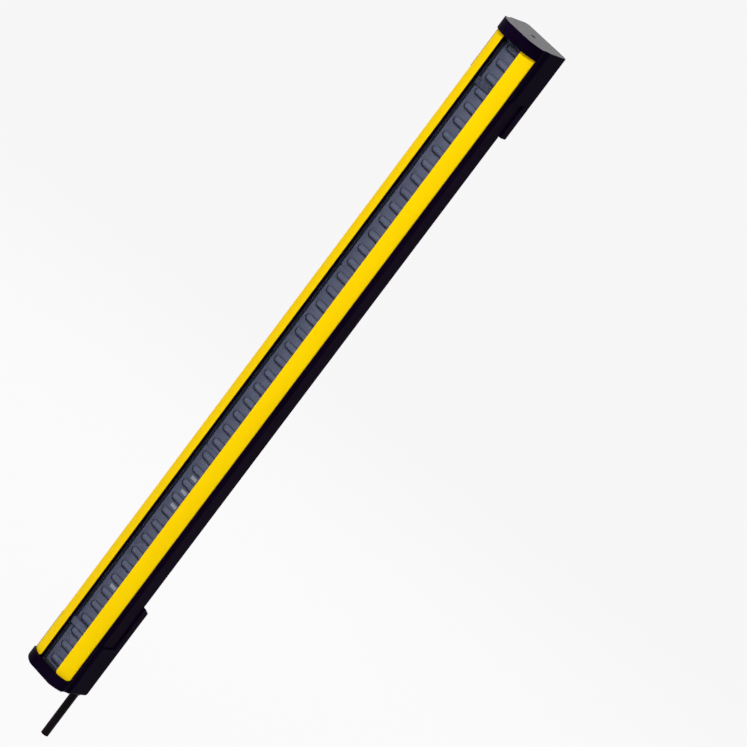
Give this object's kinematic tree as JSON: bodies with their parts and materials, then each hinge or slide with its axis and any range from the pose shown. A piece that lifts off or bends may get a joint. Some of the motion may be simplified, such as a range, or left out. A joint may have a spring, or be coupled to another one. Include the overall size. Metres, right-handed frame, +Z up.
{
  "type": "safety light curtain",
  "caption": "One upright bar of a safety light curtain: dark window over a row of lenses between yellow rails, black end caps, rear feet and a cable at the bottom.",
  "frame": {"origin": "centre of the rectangle of four threaded inserts, on the rear plane of the two feet, at half the bar's height", "axes": "+Z runs up the bar, away from the cable; +Y points out of the rear, into the machine it is fixed to, so the window faces -Y; +X is to the right as the window is faced"},
  "size_m": [0.0348, 0.0316, 0.496],
  "materials": {
    "black_profile": "black anodised, fine satin",
    "yellow_coating": "signal yellow powder coat, smooth satin",
    "smoky_window": "polished smoke-blue acrylic",
    "seal_rubber": "matte black",
    "lens_plastic": "slate infrared-pass plastic, moulded gloss",
    "slate_plastic": "slate moulded, fine texture",
    "optics_plastic": "dark opaque moulded",
    "diode_plastic": "dark epoxy",
    "clear_plastic": "clear polished",
    "circuit_board": "green solder mask",
    "chip_plastic": "black epoxy",
    "header_plastic": "natural nylon",
    "spring_steel": "bright spring steel",
    "screw_steel": "zinc plated",
    "insert_brass": "turned",
    "cap_plastic": "black moulded, fine grain",
    "cable_jacket": "black jacket, satin",
    "core_insulation": "coloured insulation"
  },
  "bodies": {
    "root": {"housing_profile": "black_profile", "left_front_rail": "yellow_coating", "right_front_rail": "yellow_coating", "front_window": "smoky_window", "left_window_gasket": "seal_rubber", "right_window_gasket": "seal_rubber", "lens_array_bottom": "lens_plastic", "lens_array_lower": "lens_plastic", "lens_array_middle": "lens_plastic", "lens_array_upper": "lens_plastic", "lens_array_top": "lens_plastic", "lower_window_bridge": "slate_plastic", "upper_window_bridge": "slate_plastic", "aperture_bar": "optics_plastic", "beam_diodes": "diode_plastic", "status_lamps": "diode_plastic", "status_light_guides": "clear_plastic", "lower_beam_board": "circuit_board", "middle_beam_board": "circuit_board", "upper_beam_board": "circuit_board", "board_links": "header_plastic", "control_board": "circuit_board", "control_board_chips": "chip_plastic", "board_spacers": "header_plastic", "board_header": "chip_plastic", "board_pads": "seal_rubber", "earthing_spring": "spring_steel", "cable_terminal": "header_plastic", "cable_cores": "core_insulation", "top_end_cap": "cap_plastic", "bottom_end_cap": "cap_plastic", "top_cap_gasket": "seal_rubber", "bottom_cap_gasket": "seal_rubber", "vent_plug": "cap_plastic", "top_mounting_foot": "cap_plastic", "bottom_mounting_foot": "cap_plastic", "foot_inserts": "insert_brass", "end_cap_screws": "screw_steel", "foot_screws": "screw_steel", "cable_grommet": "seal_rubber", "cable": "cable_jacket"}
  },
  "joints": []
}
